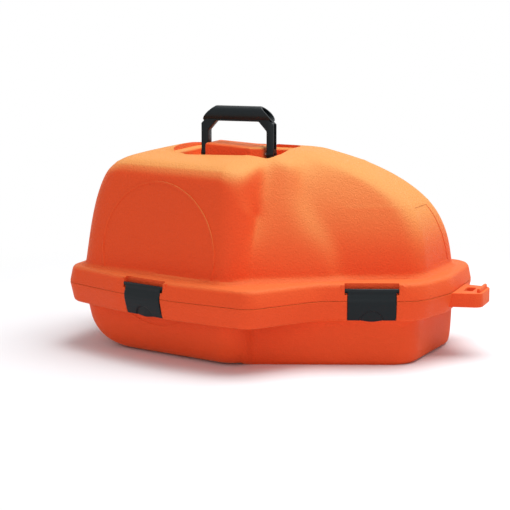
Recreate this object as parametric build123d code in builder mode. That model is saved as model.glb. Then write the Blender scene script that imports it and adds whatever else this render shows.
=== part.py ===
# Carrying case for a power saw: a moulded base tray and a domed lid that meet on a wide rim,
# two hinges with steel pins along the back, two latches on the front rim and a fold-down
# handle in a recess of the lid. Millimetres, Z up. The origin lies on the floor under the
# case, the latches face -Y and the hinges +Y.
import os
from math import radians, tan

from build123d import *

os.makedirs("parts", exist_ok=True)

# heights of the case
wall = 3.6
parting_z = 102.0
rim_gap = 0.4
lid_low = parting_z + rim_gap
rim_top = parting_z + 26.0
rim_low = parting_z - 31.0
rim_bevel = 5.0
rim_bevel_taper = 42.0
lid_height = 216.0
rim_taper = 12.0

# outline of the rim seen from above, walked from the left back corner past the front
rim_back_y = 192.0
rim_right_x = 279.0
rim_corners = [
    (-318, rim_back_y), (-318, -97), (-205, -152), (-95, -190), (38, -212),
    (112, -112), (252, -61), (rim_right_x, 20), (rim_right_x, rim_back_y),
]
rim_radii = [50, 45, 150, 150, 30, 60, 60, 100, 50]

# handle, its rod and the well it folds into, seen from above
handle_x = -57.0
handle_y = -8.0
rod_z = parting_z + 204.0
rod_radius = 2.5
running_fit = 0.05
leg_gap = 97.0
leg_thick = 11.5
leg_wide = 17.0
grip_rise = 62.5
grip_radius = 11.5
grip_half = 36.0
inner_bevel = 12.5
shoulder_drop = 24.0
leg_round = 2.5
groove_depth = 3.0
groove_wide = 9.0
well_floor = rod_z - 14.0
well_low = well_floor - wall
well_left = -150.0
well_right = 12.0
well_front = -54.0
well_back = 74.0
well_round = 12.0
island_wide = 89.0
island_front = -40.0
island_back = 22.0
island_bevel = 14.0
island_hollow = 21.0

# latches: middle on the rim and direction of the rim there, then their sizes
latch_places = {
    "left_latch": ((-150.0, -171.0), (110.0, -38.0)),
    "right_latch": ((184.6, -85.4), (140.0, 51.0)),
}
latch_width = 72.0
latch_play = 0.8
side_gap = 0.4
bar_radius = 3.6
bar_width = 80.0
bar_in = 6.0
bar_up = 14.0
stub_radius = 2.4
stub_length = 3.2
pocket_depth = 11.0
latch_outer = [(2.4, 14), (-1.2, 1), (7.2, -29.6)]
latch_inner = [(10.2, -28.2), (2.3, -1), (6, 10.6)]
thumb_radius = 9.0
thumb_depth = 1.2

# hinges along the back
hinge_y = rim_back_y + 8.5
hinge_places = {"left_hinge_pin": -190.0, "right_hinge_pin": 150.0}
knuckle_radius = 7.0
knuckle_length = 22.0
knuckle_gap = 0.5
leaf_y = rim_back_y - 4.6
leaf_side = knuckle_radius * 0.7
leaf_height = 20.0
pin_radius = 2.5
pin_head_radius = 4.4
pin_head_length = 1.6

# lip on the tray that the lid's rim fits over
lip_in = 5.6
lip_thick = 3.0
lip_height = 5.0
lip_foot = 6.0

# tab with slot and raised ridge on the right end of the tray's rim
tab_y = 66.0
tab_root = 86.0
tab_end = 64.0
tab_end_x = 322.0
tab_height = 22.0
tab_wall = 4.0
slot_x = 296.0
slot_size = (14.0, 30.0)
ridge_x = 315.0
ridge_size = (6.0, 50.0)
ridge_height = 6.0

# opening for the guide bar in the left end, and the ribs in the tray
bar_slot_y = 60.0
bar_slot_wide = 40.0
bar_slot_low = 50.0
bar_slot_high = parting_z + 66.0
rib_places = (-170.0, -60.0, 60.0)
rib_height = 16.0
rib_thick = 4.0
rib_length = 120.0
rib_y = 25.0

# the big block on the left of the lid: height over the parting plane, left x, right x,
# how far the front and the back have moved in
wall_back_y = 162.0
block_rows = [
    (20, -297, 8, 0, 0), (115, -282, 8, 10, 8), (178, -256, 8, 18, 18), (198, -228, 6, 38, 40),
    (207, -195, 2, 90, 64), (lid_height, -150, -18, 95, 98),
]
block_front_left = (-296, -92)
block_front_right = (4, -176)
block_radii = (45, 45, 28, 45)
block_twist = 0.3
block_twist_from = 16.0

# the lower dome over the right half of the lid: height over the parting plane, right x,
# how far the front has moved in; its right end turns away from the x axis by the splay
dome_rows = [(20, 259, 0), (68, 252, 10), (112, 235, 26), (153, 195, 49), (188, 128, 76), (212, 50, 108)]
dome_left_x = -20.0
dome_splay = 0.1
dome_back_step = 4.0
dome_back_share = 0.5
dome_front_left = (-6, -130)
dome_front_right = (236, -14)
dome_radii = (10, 10, 40, 40)

# the tent-shaped bulge between block and dome: height over the parting plane, then x and y of
# its left crest and how far the front runs to the right
bulge_rows = [
    (20, 14, -138, 102), (70, 14, -122, 84), (106, 22, -104, 50), (146, 30, -84, 22),
    (192, 32, -62, 16), (208, 22, -52, 12),
]
bulge_slope = 0.65
bulge_left_run = (-60, 20)
bulge_right_run = (24, 50)
bulge_round = 13.0

# the tray's block and dome under the rim, in heights over the floor
tray_block_rows = [
    (80, -294, 8, 0, 0), (44, -285, 8, 3, 3), (18, -268, 6, 11, 10), (5, -244, 2, 23, 22),
    (0, -218, -4, 40, 38),
]
tray_dome_rows = [(80, 259, 0), (28, 257, 1), (6, 254, 4), (0, 247, 9)]
tray_left_x = -10.0
tray_front_left = (8, -128)
tray_front_right = (244, -42)

# ring line raised on the flat front of lid block and tray block
ring_x = -142.0
ring_z = 160.0
ring_radius = 111.0
ring_line = 2.4
ring_proud = 1.0
ring_sunk = 2.0
lid_lean = 0.1
tray_lean = 0.107

# shallow panel for a label on the dome's right end
panel_y = 46.0
panel_wide = 80.0
panel_low = 140.0
panel_high = 228.0
panel_depth = 1.2
panel_round = 4.0
panel_from_x = 176.0


def front_y(start, end, x):
    return start[1] + (x - start[0]) * (end[1] - start[1]) / (end[0] - start[0])


def block_corners(row):
    height, left, right, front, back = row
    twist = block_twist * max(front - block_twist_from, 0)
    return [
        (left, wall_back_y - back),
        (left, front_y(block_front_left, block_front_right, left) + front),
        (right, front_y(block_front_left, block_front_right, right) + front + twist),
        (right, wall_back_y - back),
    ]


def dome_corners(row, left_x, start, end):
    height, right, move = row
    back_y = wall_back_y - dome_back_step - move * dome_back_share
    slope = (end[1] - start[1]) / (end[0] - start[0])
    axis_y = front_y(start, end, 0) + move
    front_x = (right - dome_splay * (back_y - axis_y)) / (1 - dome_splay * slope)
    return [
        (left_x, back_y), (left_x, axis_y + left_x * slope),
        (front_x, axis_y + front_x * slope), (right, back_y),
    ]


def bulge_corners(row):
    height, x, y, run = row
    right_x = x + run
    right_y = y + run * bulge_slope
    return [
        (x + bulge_left_run[0], y + bulge_left_run[1]), (x, y), (right_x, right_y),
        (right_x + bulge_right_run[0], right_y + bulge_right_run[1]),
    ]


def along(name):
    run, rise = latch_places[name][1]
    return Vector(run, rise, 0).normalized()


def inward(name):
    direction = along(name)
    return Vector(-direction.Y, direction.X, 0)


def latch_plane(name, height):
    x, y = latch_places[name][0]
    return Plane(origin=(x, y, height), x_dir=along(name), z_dir=(0, 0, 1))


def latch_section(name):
    x, y = latch_places[name][0]
    return Plane(origin=(x, y, parting_z), x_dir=inward(name), z_dir=along(name))


def latch_front(name):
    low = Vector(*latch_outer[-1])
    lean = (low - Vector(*latch_outer[1])).normalized()
    section = latch_section(name)
    start = section.from_local_coords((low.X, low.Y, 0))
    end = section.from_local_coords((low.X + lean.Y, low.Y - lean.X, 0))
    return Plane(origin=start - (end - start) * thumb_depth, x_dir=along(name), z_dir=end - start)


def ring_plane(lean, foot_height):
    slope = (block_front_right[1] - block_front_left[1]) / (block_front_right[0] - block_front_left[0])
    y = front_y(block_front_left, block_front_right, ring_x) + lean * (ring_z - foot_height)
    return Plane(origin=(ring_x, y, ring_z), x_dir=(1, slope, 0), z_dir=(slope, -1, lean))


def tab_face(inset):
    corners = [
        (rim_right_x - 8, tab_y - tab_root / 2), (tab_end_x, tab_y - tab_end / 2),
        (tab_end_x, tab_y + tab_end / 2), (rim_right_x - 8, tab_y + tab_root / 2),
    ]
    return outline_face(corners, (0, 14, 14, 0), inset)


def outline_face(corners, radii, inset):
    with BuildSketch() as face:
        with BuildLine():
            FilletPolyline(*corners, radius=radii, close=True)
        make_face()
        if inset > 0:
            offset(amount=-inset, kind=Kind.INTERSECTION)
    return face.sketch


def block_face(row, inset):
    return outline_face(block_corners(row), block_radii, inset)


def lid_dome_face(row, inset):
    corners = dome_corners(row, dome_left_x, dome_front_left, dome_front_right)
    return outline_face(corners, dome_radii, inset)


def tray_dome_face(row, inset):
    corners = dome_corners(row, tray_left_x, tray_front_left, tray_front_right)
    return outline_face(corners, dome_radii, inset)


def bulge_face(row, inset):
    return outline_face(bulge_corners(row), bulge_round, inset)


def rim_face(inset):
    return outline_face(rim_corners, rim_radii, inset)


lid_forms = [(block_face, block_rows), (lid_dome_face, dome_rows), (bulge_face, bulge_rows)]
tray_forms = [(block_face, tray_block_rows), (tray_dome_face, tray_dome_rows)]

# lid: block, dome and bulge lofted over their rows of heights, and the rim under them
with BuildPart() as lid_form:
    for face, rows in lid_forms:
        for row in rows:
            with BuildSketch(Plane.XY.offset(parting_z + row[0])):
                add(face(row, 0))
        loft(ruled=True)
    with BuildSketch(Plane.XY.offset(lid_low)):
        add(rim_face(0))
    extrude(amount=rim_top - rim_bevel - lid_low, taper=rim_taper)
    with BuildSketch(Plane.XY.offset(rim_top - rim_bevel)):
        add(rim_face((rim_top - rim_bevel - lid_low) * tan(radians(rim_taper))))
    extrude(amount=rim_bevel, taper=rim_bevel_taper)

# the space inside the lid, one wall away from the outer form; the handle well is kept out of it
well_x = (well_left + well_right) / 2
well_y = (well_front + well_back) / 2
with BuildPart() as lid_space:
    for face, rows in lid_forms:
        for row in rows:
            with BuildSketch(Plane.XY.offset(parting_z + row[0] - wall * (row is not rows[0]))):
                add(face(row, wall))
        loft(ruled=True)
    with BuildSketch(Plane.XY.offset(parting_z)):
        add(rim_face(wall))
    extrude(amount=rim_top - parting_z - wall, taper=rim_taper)
    with BuildSketch(Plane.XY.offset(well_low)):
        with Locations((well_x, well_y)):
            RectangleRounded(
                well_right - well_left + 2 * wall, well_back - well_front + 2 * wall, well_round + wall
            )
    extrude(amount=lid_height, mode=Mode.SUBTRACT)

# tray: block and dome hanging from the rim
with BuildPart() as tray_form:
    for face, rows in tray_forms:
        for row in rows:
            with BuildSketch(Plane.XY.offset(row[0])):
                add(face(row, 0))
        loft(ruled=True)
    with BuildSketch(Plane.XY.offset(parting_z)):
        add(rim_face(0))
    extrude(amount=rim_low + rim_bevel - parting_z, taper=rim_taper)
    with BuildSketch(Plane.XY.offset(rim_low + rim_bevel)):
        add(rim_face((parting_z - rim_low - rim_bevel) * tan(radians(rim_taper))))
    extrude(amount=-rim_bevel, taper=rim_bevel_taper)

with BuildPart() as tray_space:
    for face, rows in tray_forms:
        for row in rows:
            with BuildSketch(Plane.XY.offset(row[0] + wall * (row is not rows[0]))):
                add(face(row, wall))
        loft(ruled=True)
    with BuildSketch(Plane.XY.offset(parting_z)):
        add(rim_face(wall))
    extrude(amount=rim_low - parting_z + wall, taper=rim_taper)

with BuildPart() as panel_cut:
    with BuildSketch(Plane.YZ.offset(panel_from_x)):
        with Locations((panel_y, (panel_low + panel_high) / 2)):
            RectangleRounded(panel_wide, panel_high - panel_low, panel_round)
    extrude(amount=rim_right_x - panel_from_x)
    with Locations((-panel_depth, 0, 0)):
        add(lid_form.part, mode=Mode.SUBTRACT)

with BuildPart() as lid_shell:
    add(lid_form.part)
    add(lid_space.part, mode=Mode.SUBTRACT)

    # handle well with the island left standing, hollow from below, and the rod's hole in it
    with BuildSketch(Plane.XY.offset(well_floor)):
        with Locations((well_x, well_y)):
            RectangleRounded(well_right - well_left, well_back - well_front, well_round)
        with BuildLine():
            FilletPolyline(
                (handle_x - island_wide / 2, island_back),
                (handle_x - island_wide / 2, island_front),
                (handle_x + island_wide / 2 - island_bevel, island_front),
                (handle_x + island_wide / 2, island_front + island_bevel),
                (handle_x + island_wide / 2, island_back),
                radius=3, close=True,
            )
        make_face(mode=Mode.SUBTRACT)
    extrude(amount=lid_height, mode=Mode.SUBTRACT)
    with BuildSketch(Plane.XY.offset(well_low)):
        with Locations((handle_x, (island_front + island_back) / 2)):
            Rectangle(island_wide - 2 * wall, island_back - island_front - 2 * island_bevel)
    extrude(amount=island_hollow, mode=Mode.SUBTRACT)
    with Locations((handle_x, handle_y, rod_z)):
        Cylinder(rod_radius, island_wide + 10, rotation=(0, 90, 0), mode=Mode.SUBTRACT)

    # a block behind each latch, its pocket open to the front and upwards, and the bar's sockets
    for name in latch_places:
        with BuildSketch(latch_plane(name, lid_low)):
            with Locations((0, wall + pocket_depth / 2)):
                Rectangle(bar_width + 4 * stub_length, pocket_depth)
        extrude(amount=rim_top - lid_low - wall / 2)
        with BuildSketch(latch_plane(name, parting_z)):
            with Locations((0, -pocket_depth / 2)):
                Rectangle(latch_width + 2 * latch_play, pocket_depth * 3)
        extrude(amount=rim_top, mode=Mode.SUBTRACT)
        with BuildSketch(latch_plane(name, parting_z + bar_up - bar_radius - latch_play)):
            with Locations((0, -pocket_depth / 2)):
                Rectangle(bar_width + 2 * side_gap, pocket_depth * 3)
        extrude(amount=rim_top, mode=Mode.SUBTRACT)
        with BuildSketch(latch_section(name)):
            with Locations((bar_in, bar_up)):
                Circle(stub_radius + running_fit)
        extrude(amount=bar_width / 2 + stub_length + side_gap, both=True, mode=Mode.SUBTRACT)

    # the middle knuckle of each hinge
    for x in hinge_places.values():
        with BuildSketch(Plane.YZ.offset(x - knuckle_length / 2)):
            with BuildLine():
                Polyline(
                    (leaf_y, lid_low), (hinge_y, lid_low),
                    (hinge_y + leaf_side, parting_z + leaf_side), (leaf_y, parting_z + leaf_height),
                    close=True,
                )
            make_face()
            with Locations((hinge_y, parting_z)):
                Circle(knuckle_radius)
                Circle(pin_radius + running_fit, mode=Mode.SUBTRACT)
        extrude(amount=knuckle_length)

    # ring line raised on the block's flat front, above the rim
    with BuildSketch(ring_plane(lid_lean, parting_z + block_rows[0][0]).offset(-ring_sunk)):
        Circle(ring_radius)
        Circle(ring_radius - ring_line, mode=Mode.SUBTRACT)
        with Locations((0, rim_top - ring_z - ring_radius)):
            Rectangle(ring_radius * 3, ring_radius * 2, mode=Mode.SUBTRACT)
    extrude(amount=ring_proud + ring_sunk)

    # recessed panel on the dome's end
    add(panel_cut.part, mode=Mode.SUBTRACT)

    # upper half of the opening for the guide bar
    with BuildSketch(Plane.YZ.offset(rim_corners[0][0] - wall)):
        with Locations((bar_slot_y, parting_z)):
            RectangleRounded(bar_slot_wide, 2 * (bar_slot_high - parting_z), 12)
    extrude(amount=60, mode=Mode.SUBTRACT)
lid_shell.part.label = "lid_shell"
export_step(lid_shell.part, "parts/lid_shell.step")

with BuildPart() as base_shell:
    add(tray_form.part)
    add(tray_space.part, mode=Mode.SUBTRACT)

    # rest ribs on the floor
    for x in rib_places:
        with BuildSketch(Plane.XY.offset(wall / 2)):
            with Locations((x, rib_y)):
                Rectangle(rib_thick, rib_length)
        extrude(amount=rib_height, taper=3)

    # thickened rim edge and the lip that the lid fits over
    with BuildSketch(Plane.XY.offset(parting_z - lip_foot)):
        add(rim_face(wall * 0.7))
        add(rim_face(lip_in + lip_thick), mode=Mode.SUBTRACT)
    extrude(amount=lip_foot)
    with BuildSketch(Plane.XY.offset(parting_z)):
        add(rim_face(lip_in))
        add(rim_face(lip_in + lip_thick), mode=Mode.SUBTRACT)
    extrude(amount=lip_height)

    # tab on the right end: hollow from below, slotted, with a ridge at its outer edge
    with BuildSketch(Plane.XY.offset(parting_z - tab_height)):
        add(tab_face(0))
    extrude(amount=tab_height)
    with BuildSketch(Plane.XY.offset(parting_z - tab_height)):
        add(tab_face(tab_wall))
    extrude(amount=tab_height - tab_wall, mode=Mode.SUBTRACT)
    with BuildSketch(Plane.XY.offset(parting_z - tab_height)):
        with Locations((slot_x, tab_y)):
            RectangleRounded(slot_size[0] + 2 * tab_wall, slot_size[1] + 2 * tab_wall, 6)
    extrude(amount=tab_height)
    with BuildSketch(Plane.XY.offset(parting_z - tab_height)):
        with Locations((slot_x, tab_y)):
            RectangleRounded(slot_size[0], slot_size[1], 3)
    extrude(amount=tab_height, mode=Mode.SUBTRACT)
    with BuildSketch(Plane.XY.offset(parting_z - tab_wall / 2)):
        with Locations((ridge_x, tab_y)):
            RectangleRounded(ridge_size[0], ridge_size[1], 2.5)
    extrude(amount=ridge_height + tab_wall / 2)

    # a block behind each latch and the pocket in it, clear of the lid's blocks above
    for name in latch_places:
        with BuildSketch(latch_section(name)):
            with BuildLine():
                Polyline(
                    (wall, 0), (pocket_depth + wall, 0), (pocket_depth + wall, rim_low - parting_z),
                    (wall * 2.8, rim_low - parting_z), close=True,
                )
            make_face()
        extrude(amount=latch_width / 2 + latch_play + wall, both=True)
        with BuildSketch(latch_plane(name, rim_low - wall)):
            with Locations((0, -pocket_depth / 2)):
                Rectangle(latch_width + 2 * latch_play, pocket_depth * 3)
        extrude(amount=rim_top, mode=Mode.SUBTRACT)
        with BuildSketch(latch_plane(name, parting_z)):
            with Locations((0, wall + pocket_depth / 2)):
                Rectangle(bar_width + 4 * stub_length + 4 * side_gap, pocket_depth + 4 * side_gap)
        extrude(amount=rim_top, mode=Mode.SUBTRACT)

    # outer knuckles of each hinge, bored to the pin
    for x in hinge_places.values():
        for start in (-1.5 * knuckle_length - knuckle_gap, 0.5 * knuckle_length + knuckle_gap):
            with BuildSketch(Plane.YZ.offset(x + start)):
                with BuildLine():
                    Polyline(
                        (leaf_y, parting_z), (hinge_y, parting_z),
                        (hinge_y + leaf_side, parting_z - leaf_side), (leaf_y, parting_z - leaf_height),
                        close=True,
                    )
                make_face()
                with Locations((hinge_y, parting_z)):
                    Circle(knuckle_radius)
                    Circle(pin_radius, mode=Mode.SUBTRACT)
            extrude(amount=knuckle_length)

    # ring line on the tray's flat front, under the rim
    with BuildSketch(ring_plane(-tray_lean, tray_block_rows[0][0]).offset(-ring_sunk)):
        Circle(ring_radius)
        Circle(ring_radius - ring_line, mode=Mode.SUBTRACT)
        with Locations((0, rim_low - ring_z + ring_radius)):
            Rectangle(ring_radius * 3, ring_radius * 2, mode=Mode.SUBTRACT)
    extrude(amount=ring_proud + ring_sunk)

    # lower half of the opening for the guide bar
    with BuildSketch(Plane.YZ.offset(rim_corners[0][0] - wall)):
        with Locations((bar_slot_y, parting_z)):
            RectangleRounded(bar_slot_wide, 2 * (parting_z - bar_slot_low), 12)
    extrude(amount=60, mode=Mode.SUBTRACT)
base_shell.part.label = "base_shell"
export_step(base_shell.part, "parts/base_shell.step")

# the two latches: a bowed plate rolled over a bar, with stubs in the lid's sockets
for name in latch_places:
    with BuildPart() as latch:
        with BuildSketch(latch_section(name)):
            with BuildLine():
                ThreePointArc(*latch_outer)
                Line(latch_outer[-1], latch_inner[0])
                ThreePointArc(*latch_inner)
                Line(latch_inner[-1], latch_outer[0])
            make_face()
        extrude(amount=latch_width / 2, both=True)
        with BuildSketch(latch_section(name)):
            with Locations((bar_in, bar_up)):
                Circle(bar_radius)
        extrude(amount=bar_width / 2, both=True)
        with BuildSketch(latch_section(name)):
            with Locations((bar_in, bar_up)):
                Circle(stub_radius)
        extrude(amount=bar_width / 2 + stub_length, both=True)
        with BuildSketch(latch_front(name)):
            Circle(thumb_radius)
        extrude(amount=thumb_depth, mode=Mode.SUBTRACT)
        latch.part.label = name
    export_step(latch.part, f"parts/{name}.step")

# hinge pins with domed heads
for name, x in hinge_places.items():
    with BuildPart() as pin:
        half = 1.5 * knuckle_length + knuckle_gap
        with Locations((x, hinge_y, parting_z)):
            Cylinder(pin_radius, 2 * half, rotation=(0, 90, 0))
        for side in (-1, 1):
            with Locations((x + side * (half + pin_head_length / 2), hinge_y, parting_z)):
                Cylinder(pin_head_radius, pin_head_length, rotation=(0, 90, 0))
    pin.part.label = name
    export_step(pin.part, f"parts/{name}.step")

# handle: legs and bevelled corners cut from one arch, a round grip across the top
leg_x = leg_gap / 2
grip_low = grip_rise - grip_radius
groove_z = rod_z + (grip_rise - shoulder_drop) / 2
with BuildPart() as handle:
    with BuildSketch(Plane(origin=(handle_x, handle_y, rod_z), x_dir=(1, 0, 0), z_dir=(0, -1, 0))):
        with BuildLine():
            Polyline(
                (-leg_x - leg_thick, 0), (-leg_x - leg_thick, grip_rise - shoulder_drop),
                (-grip_half, grip_rise + grip_radius), (grip_half, grip_rise + grip_radius),
                (leg_x + leg_thick, grip_rise - shoulder_drop), (leg_x + leg_thick, 0), (leg_x, 0),
                (leg_x, grip_low - inner_bevel), (leg_x - inner_bevel, grip_low),
                (inner_bevel - leg_x, grip_low), (-leg_x, grip_low - inner_bevel),
                (-leg_x, 0), close=True,
            )
        make_face()
    extrude(amount=leg_wide / 2, both=True)
    rims = handle.faces().filter_by(Axis.Y).edges()
    fillet(rims.filter_by(lambda edge: edge.center().Z > rod_z + 1), leg_round)
    with Locations((handle_x, handle_y, rod_z + grip_rise)):
        Cylinder(grip_radius, 2 * grip_half, rotation=(0, 90, 0))
    for side in (-1, 1):
        with Locations((handle_x + side * (leg_x + leg_thick / 2), handle_y, rod_z)):
            Cylinder(leg_wide / 2, leg_thick, rotation=(0, 90, 0))
            Cylinder(rod_radius + running_fit, leg_thick * 2, rotation=(0, 90, 0), mode=Mode.SUBTRACT)
        with Locations((handle_x + side * (leg_x + leg_thick), handle_y, groove_z)):
            Box(2 * groove_depth, groove_wide, grip_rise - shoulder_drop, mode=Mode.SUBTRACT)
handle.part.label = "handle"
export_step(handle.part, "parts/handle.step")

# steel rod through the island and both legs
with BuildPart() as handle_rod:
    with Locations((handle_x, handle_y, rod_z)):
        Cylinder(rod_radius, 2 * (leg_x + leg_thick - groove_depth), rotation=(0, 90, 0))
handle_rod.part.label = "handle_rod"
export_step(handle_rod.part, "parts/handle_rod.step")
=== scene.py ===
import math

import bmesh
import bpy
import numpy as np
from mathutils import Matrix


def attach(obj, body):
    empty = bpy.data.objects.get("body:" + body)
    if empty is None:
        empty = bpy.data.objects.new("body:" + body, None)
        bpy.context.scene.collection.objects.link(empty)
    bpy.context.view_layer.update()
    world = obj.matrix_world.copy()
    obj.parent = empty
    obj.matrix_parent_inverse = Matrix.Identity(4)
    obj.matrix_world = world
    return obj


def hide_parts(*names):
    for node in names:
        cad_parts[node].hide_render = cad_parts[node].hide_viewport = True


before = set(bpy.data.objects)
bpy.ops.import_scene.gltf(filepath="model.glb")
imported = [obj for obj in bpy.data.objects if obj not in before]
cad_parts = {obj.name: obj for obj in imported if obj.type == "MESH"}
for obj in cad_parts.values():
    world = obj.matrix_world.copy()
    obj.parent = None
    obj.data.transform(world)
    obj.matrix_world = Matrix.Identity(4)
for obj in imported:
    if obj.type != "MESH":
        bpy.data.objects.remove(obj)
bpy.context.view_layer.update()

# Camera: stands a little right of the case's middle and looks slightly down
# on it from about two and a half metres, as the photograph was taken.
def placed(name, data):
    """A thing in the scene that shows this lens, mesh or lamp."""
    thing = bpy.data.objects.new(name, data)
    bpy.context.scene.collection.objects.link(thing)
    return thing


lens = bpy.data.cameras.new("camera")
lens.lens = 108.7
lens.sensor_width = 36
lens.clip_end = 60
camera = placed("camera", lens)
camera.location = (0.8226, -2.2292, 0.5413)
camera.rotation_euler = (math.radians(80.6), 0, math.radians(21))
bpy.context.scene.camera = camera

# Base tray: one thick-walled orange moulding. A block at the left and a lower
# dome at the right hang from a wide hollow rim, which has a slotted tab at its
# right end, a pocket for each latch and the outer knuckles of the two hinges.
# Sizes in millimetres here; heights over the floor.
wall = 3.6
parting = 102.0
rim_low = 71.0
rim_taper = math.tan(math.radians(12))
rim_corners = [
    (-318, 192), (-318, -97), (-205, -152), (-95, -190), (38, -212),
    (112, -112), (252, -61), (279, 20), (279, 192),
]
rim_radii = [50, 45, 150, 150, 30, 60, 60, 100, 50]
middle = np.array((-57.0, 15.0))
around = 480

block_left_foot = (-296, -92)
block_right_foot = (4, -176)
wall_back_y = 162.0
# rows of (height, left, right, how far the front and the back are drawn in)
tray_block_rows = [
    (80, -293, 8, 0, 0), (44, -285, 8, 3, 3), (18, -268, 7, 11, 10),
    (5, -244, 4, 22, 22), (0, -218, 0, 36, 38),
]
# rows of (height, right, how far the front is drawn in)
tray_dome_rows = [(80, 259, 0), (28, 257, 1), (6, 254, 4), (0, 246, 9)]
tray_dome_feet = ((8, -128), (244, -42))
tray_valley = 24.0
rim_fillet = 5.0
rim_fillet_run = 6.0


def filleted(corners, radii, steps=12):
    """Points along a polygon whose corners are rounded."""
    points = []
    count = len(corners)
    for i in range(count):
        here = np.array(corners[i], float)
        back = np.array(corners[i - 1], float) - here
        ahead = np.array(corners[(i + 1) % count], float) - here
        back /= np.linalg.norm(back)
        ahead /= np.linalg.norm(ahead)
        half = math.acos(max(-1, min(1, float(back @ ahead)))) / 2
        bisector = (back + ahead) / np.linalg.norm(back + ahead)
        centre = here + bisector * radii[i] / math.sin(half)
        start = here + back * radii[i] / math.tan(half) - centre
        end = here + ahead * radii[i] / math.tan(half) - centre
        first = math.atan2(start[1], start[0])
        turn = (math.atan2(end[1], end[0]) - first + math.pi) % (2 * math.pi) - math.pi
        angles = first + turn * np.linspace(0, 1, steps)
        points.append(centre + radii[i] * np.stack([np.cos(angles), np.sin(angles)], 1))
    return np.vstack(points)


def oblong(x, y, half_x, half_y, radius, steps=8):
    """A rounded oblong about its middle."""
    left, right, front, back = x - half_x, x + half_x, y - half_y, y + half_y
    return filleted([(left, front), (right, front), (right, back), (left, back)], [radius] * 4, steps)


def run_along(points):
    """How long a line has run at each of its points."""
    return np.concatenate([[0], np.cumsum(np.linalg.norm(np.diff(points, axis=0), axis=1))])


def spaced(points, count):
    """The same closed outline as that many evenly spaced points."""
    loop = np.vstack([points, points[:1]])
    run = run_along(loop)
    at = np.linspace(0, run[-1], count, endpoint=False)
    return np.stack([np.interp(at, run, loop[:, 0]), np.interp(at, run, loop[:, 1])], 1)


def drawn_in(points, inset):
    """A counterclockwise outline moved inwards by the inset."""
    along = np.roll(points, -1, 0) - np.roll(points, 1, 0)
    along /= np.linalg.norm(along, axis=1)[:, None]
    return points - inset * np.stack([along[:, 1], -along[:, 0]], 1)


def reach(points, rays):
    """How far each ray from the middle runs before it leaves the outline."""
    a = points - middle
    e = np.roll(a, -1, 0) - a
    across = rays[:, :1] * e[:, 1] - rays[:, 1:] * e[:, 0]
    across = np.where(np.abs(across) < 1e-9, 1e-9, across)
    t = (a[:, 0] * e[:, 1] - a[:, 1] * e[:, 0]) / across
    s = (a[:, 0] * rays[:, 1:] - a[:, 1] * rays[:, :1]) / across
    return np.where((s >= 0) & (s < 1) & (t > 0), t, 0).max(1)


def faired(rows, count=240):
    """Rows of sizes with smooth rows put in between them."""
    rows = np.array(rows, float)
    run = run_along(rows)
    step = np.diff(run)[:, None]
    slope = np.diff(rows, axis=0) / step
    tangent = np.vstack([slope[:1], np.zeros_like(slope[1:]), slope[-1:]])
    for i in range(1, len(rows) - 1):
        a, b = slope[i - 1], slope[i]
        safe = np.where(a * b > 0, a + b, 1)
        tangent[i] = np.where(a * b > 0, 2 * a * b / safe, 0)
    at = np.linspace(0, run[-1], count)
    k = np.clip(np.searchsorted(run, at, "right") - 1, 0, len(rows) - 2)
    h = step[k]
    u = ((at - run[k]) / step[k, 0])[:, None]
    return (
        rows[k] * (1 + 2 * u) * (1 - u) ** 2 + rows[k + 1] * u * u * (3 - 2 * u)
        + h * tangent[k] * u * (1 - u) ** 2 - h * tangent[k + 1] * u * u * (1 - u)
    )


def row_at(rows, height):
    """The row of sizes at a height between the given rows."""
    rows = rows[np.argsort(rows[:, 0])]
    return [height] + [float(np.interp(height, rows[:, 0], column)) for column in rows.T[1:]]


def merged(a, b, width):
    """The larger of two reaches, rounded over where they are about equal."""
    near = np.maximum(width - np.abs(a - b), 0) / width
    return np.maximum(a, b) + near * near * width / 4


def line_y(start, end, x):
    """How far back the line between two points lies at an x."""
    return start[1] + (x - start[0]) * (end[1] - start[1]) / (end[0] - start[0])


def block_outline(row):
    """The tall block's plan, its front turned a little where it is drawn in far."""
    _, left, right, front, back = row
    twist = 0.3 * max(front - 16, 0)
    corners = [
        (left, wall_back_y - back),
        (left, line_y(block_left_foot, block_right_foot, left) + front),
        (right, line_y(block_left_foot, block_right_foot, right) + front + twist),
        (right, wall_back_y - back),
    ]
    return filleted(corners, (45, 45, 32, 45))


def dome_outline(row, left_x, feet):
    """The low dome's plan, with its front along the line of its two feet."""
    _, right, move = row
    slope = (feet[1][1] - feet[0][1]) / (feet[1][0] - feet[0][0])
    back_y = wall_back_y - 4 - 0.5 * move
    axis_y = line_y(*feet, 0) + move
    front_x = (right - 0.1 * (back_y - axis_y)) / (1 - 0.1 * slope)
    left_y, front_y = axis_y + left_x * slope, axis_y + front_x * slope
    corners = [(left_x, back_y), (left_x, left_y), (front_x, front_y), (right, back_y)]
    return filleted(corners, (10, 10, 40, 40))


rim_line = filleted(rim_corners, rim_radii, 24)
rim_plan = spaced(rim_line, around)
rim_fine = spaced(rim_line, 900)
rays = rim_plan - middle
rays = rays[np.argsort(np.arctan2(rays[:, 1], rays[:, 0]))]
rays /= np.linalg.norm(rays, axis=1)[:, None]


def rim_reach(inset):
    return reach(drawn_in(rim_fine, inset), rays)


def at_height(plan, height):
    """A plan's points, all at one height."""
    return np.column_stack([plan, np.full(len(plan), float(height))])


def ring_at(reaches, height):
    """A level ring of points round the case, one on each ray."""
    return at_height(middle + rays * np.asarray(reaches)[:, None], height)


def mesh_of(name, points, faces):
    mesh = bpy.data.meshes.new(name)
    mesh.from_pydata((np.asarray(points) / 1000).tolist(), [], faces)
    mesh.validate()
    return placed(name, mesh)


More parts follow.
